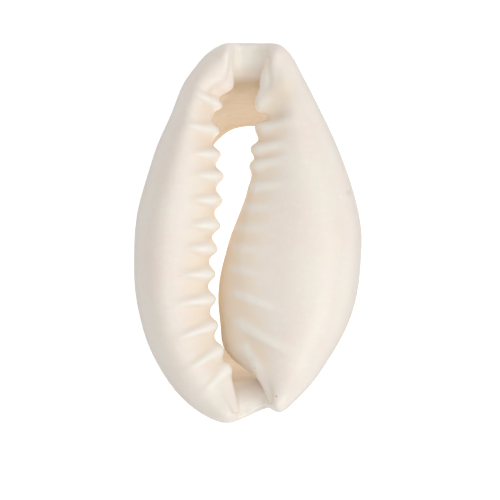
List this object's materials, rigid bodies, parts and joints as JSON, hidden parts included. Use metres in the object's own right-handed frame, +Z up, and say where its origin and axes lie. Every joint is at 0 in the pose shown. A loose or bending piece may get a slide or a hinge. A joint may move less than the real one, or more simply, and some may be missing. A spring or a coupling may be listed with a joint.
{
  "type": "cut cowrie shell",
  "caption": "Small cowrie shell with its back ground flat and open, lying aperture up; toothed outer lip, broad columella side and a notched canal at each end.",
  "frame": {"origin": "centre of the bounding box in X and Y, on the plane of the ground back (Z = 0)", "axes": "+Z up, out of the aperture; +Y along the shell towards the siphon (front) end; +X across it towards the columella side, with the outer lip at -X"},
  "size_m": [0.0132, 0.022, 0.0073],
  "materials": {
    "shell": "naturally glossy cream shell enamel, whiter on the folds and tan inside the aperture"
  },
  "bodies": {
    "root": {"cowrie_shell": "shell"}
  },
  "joints": []
}
